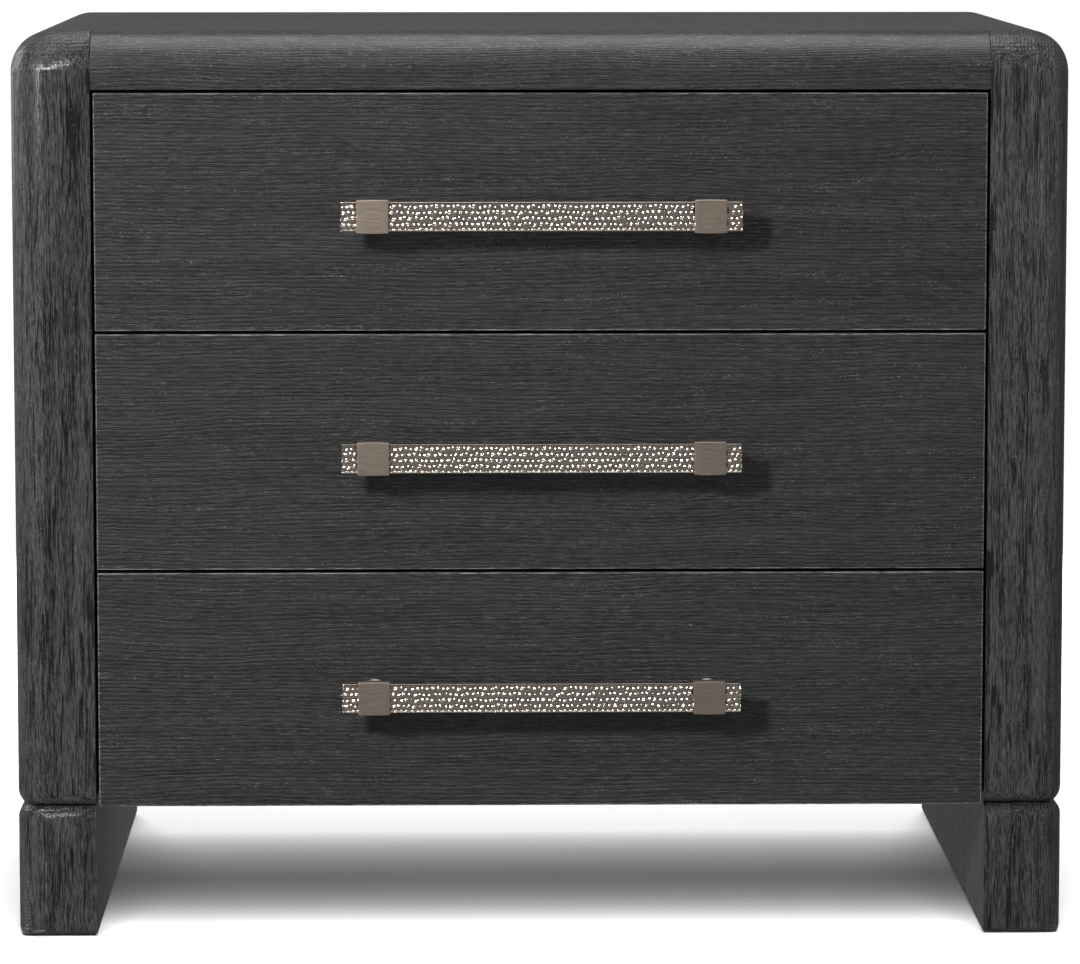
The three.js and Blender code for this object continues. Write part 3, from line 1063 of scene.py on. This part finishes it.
class NIGHTSTAND_OT_sleeves(bpy.types.Operator):
    """Handle sleeves that wrap the bar, each on a turned post with a rosette"""

    bl_idname = "nightstand.sleeves"
    bl_label = "Handle sleeves"

    def execute(self, context):
        sizes = context.scene.nightstand_handles
        behind_bar = 2.5 * MM
        for drawer in DRAWERS:
            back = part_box(f"{drawer}_handle_bar")[1].y + behind_bar
            for side in SIDES:
                node = f"{drawer}_handle_sleeve_{side}"
                low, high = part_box(node)
                far = Vector((high.x, back, high.z))
                sleeve = self.sleeve(f"finished_{node}", low, far, sizes)
                dress(sleeve, finish("brushed_nickel_plate"), drawer, "satin_nickel", node)
                centre = (low + high) / 2
                post = self.post(f"{node}_post", centre.x, centre.z, high.y, back)
                dress(post, finish("brushed_nickel_plate"), drawer, "satin_nickel")
        return {"FINISHED"}

    def sleeve(self, name, low, high, sizes):
        """A rectangular ring round the bar, its top and bottom bowed."""
        sleeve = block(name, low, high)
        pick(sleeve, "FACE", lambda f: abs(f.normal.x) > 0.9)
        bpy.ops.mesh.inset(thickness=sizes.sleeve_wall, use_even_offset=True)
        bpy.ops.mesh.bridge_edge_loops()
        leave()
        pick(sleeve, "EDGE", lambda e: along(e, 0))
        bpy.ops.mesh.subdivide(number_cuts=7)
        leave()
        centre = (low + high) / 2
        half = (high - low) / 2
        for i in range(9):
            x = low.x + i * (high.x - low.x) / 8
            rim = 1 - sizes.crown / half.z * ((x - centre.x) / half.x) ** 2
            pick(sleeve, "VERT", lambda v: abs(v.co.x - x) < SAME
                 and abs(v.co.z - centre.z) > half.z - 0.5 * MM)
            bpy.ops.transform.resize(
                value=(1, 1, rim), center_override=centre, orient_type="GLOBAL"
            )
            leave()
        ease(sleeve, 0.5 * MM, segments=3, degrees=30)
        smooth(sleeve)
        return sleeve

    def post(self, name, x, z, base, back):
        """A rosette against the drawer front and a post up to the sleeve's back."""
        rosette, lip, buried = 1.8 * MM, 1.2 * MM, 0.3 * MM
        wide, rim, shaft = 9 * MM, 8 * MM, 6 * MM
        post = rod(name, wide, rosette, (x, base - rosette / 2, z), "Y")
        front = base - rosette
        pick(post, "FACE", lambda f: f.normal.y < -0.9)
        bpy.ops.mesh.extrude_region_move(TRANSFORM_OT_translate={"value": (0, -lip, 0)})
        bpy.ops.transform.resize(
            value=(rim / wide, 1, rim / wide), center_override=(x, front, z)
        )
        bpy.ops.mesh.inset(thickness=rim - shaft)
        bpy.ops.mesh.extrude_region_move(
            TRANSFORM_OT_translate={"value": (0, back - (front - lip) - buried, 0)}
        )
        leave()
        ease(post, 0.25 * MM, degrees=25)
        smooth(post)
        return post


# ---- Stage ------------------------------------------------------------------------------------


class NIGHTSTAND_OT_stage(bpy.types.Operator):
    """Floor, lights and camera"""

    bl_idname = "nightstand.stage"
    bl_label = "Stage"

    def execute(self, context):
        stage = context.scene.nightstand_stage
        deselect()
        bpy.ops.mesh.primitive_plane_add(size=3.4, location=(0, 0.2, 0))
        floor = context.object
        floor.name = "floor"
        material, tree, shader, _ = new_finish("pale_floor")
        shader.inputs["Base Color"].default_value = stage.floor
        shader.inputs["Roughness"].default_value = 0.9
        shader.inputs["Specular IOR Level"].default_value = 0.1
        floor.data.materials.append(material)
        # The floor is lit for itself, and throws nothing back at the nightstand.
        floor.visible_diffuse = False
        floor.visible_glossy = False
        on_floor = bpy.data.collections.new("on_floor")
        off_floor = bpy.data.collections.new("off_floor")
        on_floor.objects.link(floor)
        off_floor.objects.link(floor)
        off_floor.collection_objects[0].light_linking.link_state = "EXCLUDE"

        context.scene.view_settings.view_transform = "Standard"
        world = context.scene.world or bpy.data.worlds.new("studio")
        context.scene.world = world
        world.use_nodes = True
        tree = world.node_tree
        background = tree.nodes["Background"]
        background.inputs["Color"].default_value = linear("ffffff")
        # Dark straight ahead, grey round that, dim behind; the camera sees it white.
        around = add(tree, "ShaderNodeTexCoord").outputs["Generated"]
        ahead = add(tree, "ShaderNodeSeparateXYZ", links={"Vector": around}).outputs["Y"]
        turned = add(
            tree, "ShaderNodeMapRange", {"From Min": -1.0, "From Max": 1.0}, {"Value": ahead}
        ).outputs["Result"]
        ramp = add(tree, "ShaderNodeValToRGB", links={"Fac": turned})
        for place, grey in ((0.18, 0.29), (0.3, 0.24), (0.6, 0.12)):
            ramp.color_ramp.elements.new(place).color = (grey, grey, grey, 1)
        ramp.color_ramp.elements[0].color = (0.08, 0.08, 0.08, 1)
        ramp.color_ramp.elements[-1].color = (0.12, 0.12, 0.12, 1)
        level = ramp.outputs["Color"]
        seen = add(tree, "ShaderNodeLightPath").outputs["Is Camera Ray"]
        strength = add(
            tree, "ShaderNodeMix", {"data_type": "FLOAT", 3: 1.05}, {0: seen, 2: level}
        ).outputs[0]
        tree.links.new(strength, background.inputs["Strength"])

        self.lamp("top_softbox", (0, -0.1, 2.0), (0, -0.1, 0), 1.3, 14, off_floor)
        self.lamp("key_softbox", (-1.3, -2.5, 1.5), (0, -0.25, 0.35), 0.34, 50, off_floor)
        self.lamp("rim_softbox", (-1.6, 0.9, 1.0), (0, 0, 0.35), 0.8, 6, off_floor)
        self.lamp("floor_softbox_front", (0, -2.4, 2.2), (0, 0, 0), 2.4, 190, on_floor)
        self.lamp("floor_softbox_back", (0, 2.8, 1.6), (0, 0.3, 0), 2.4, 175, on_floor)

        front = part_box("top_drawer_front")[0].y
        bpy.ops.object.camera_add(
            location=(-stage.camera_side, front - stage.camera_distance, stage.camera_height)
        )
        camera = context.object
        camera.name = "camera"
        aim_side = -0.7 * MM
        aim = Vector((aim_side, front, stage.aim_height)) - camera.location
        camera.rotation_mode = "QUATERNION"
        camera.rotation_quaternion = aim.to_track_quat("-Z", "Y")
        camera.data.sensor_width = 36
        camera.data.lens = 178.5
        camera.data.clip_start = 0.05
        camera.data.clip_end = 100
        context.scene.camera = camera
        return {"FINISHED"}

    def lamp(self, name, place, target, size, power, lights):
        """A square soft light that faces its target and lights only what a collection says."""
        bpy.ops.object.light_add(type="AREA", location=place)
        lamp = bpy.context.object
        lamp.name = name
        lamp.data.size = size
        lamp.data.energy = power
        lamp.light_linking.receiver_collection = lights
        lamp.rotation_mode = "QUATERNION"
        aim = Vector(target) - Vector(place)
        lamp.rotation_quaternion = aim.to_track_quat("-Z", "Y")


OPERATORS = (
    NIGHTSTAND_OT_stage,
    NIGHTSTAND_OT_panels,
    NIGHTSTAND_OT_top,
    NIGHTSTAND_OT_inner_boards,
    NIGHTSTAND_OT_fronts,
    NIGHTSTAND_OT_boxes,
    NIGHTSTAND_OT_slides,
    NIGHTSTAND_OT_glides,
    NIGHTSTAND_OT_bars,
    NIGHTSTAND_OT_sleeves,
)


class NIGHTSTAND_PT_sidebar(bpy.types.Panel):
    """Lists the nightstand's operators and settings"""

    bl_idname = "NIGHTSTAND_PT_sidebar"
    bl_label = "Nightstand"
    bl_space_type = "VIEW_3D"
    bl_region_type = "UI"
    bl_category = "Nightstand"

    def draw(self, context):
        for name in ("case", "handles", "boxes", "finishes", "stage"):
            group = getattr(context.scene, f"nightstand_{name}")
            for setting in group.bl_rna.properties:
                if not setting.is_readonly and setting.identifier != "name":
                    self.layout.prop(group, setting.identifier)
        for operator in OPERATORS:
            self.layout.operator(operator.bl_idname)


def register():
    """Registers the classes and hangs the settings on the scene."""
    for cls in (*SETTINGS, *OPERATORS, NIGHTSTAND_PT_sidebar):
        bpy.utils.register_class(cls)
    bpy.types.Scene.nightstand_case = PointerProperty(type=CaseSizes)
    bpy.types.Scene.nightstand_handles = PointerProperty(type=HandleSizes)
    bpy.types.Scene.nightstand_boxes = PointerProperty(type=BoxSizes)
    bpy.types.Scene.nightstand_finishes = PointerProperty(type=Finishes)
    bpy.types.Scene.nightstand_stage = PointerProperty(type=StageSettings)


def unregister():
    """Takes the settings and the classes away again."""
    for name in ("case", "handles", "boxes", "finishes", "stage"):
        delattr(bpy.types.Scene, f"nightstand_{name}")
    for cls in reversed((*SETTINGS, *OPERATORS, NIGHTSTAND_PT_sidebar)):
        bpy.utils.unregister_class(cls)


def main():
    """Builds every piece."""
    register()
    for operator in OPERATORS:
        group, name = operator.bl_idname.split(".")
        getattr(getattr(bpy.ops, group), name)()


if __name__ == "__main__":
    main()
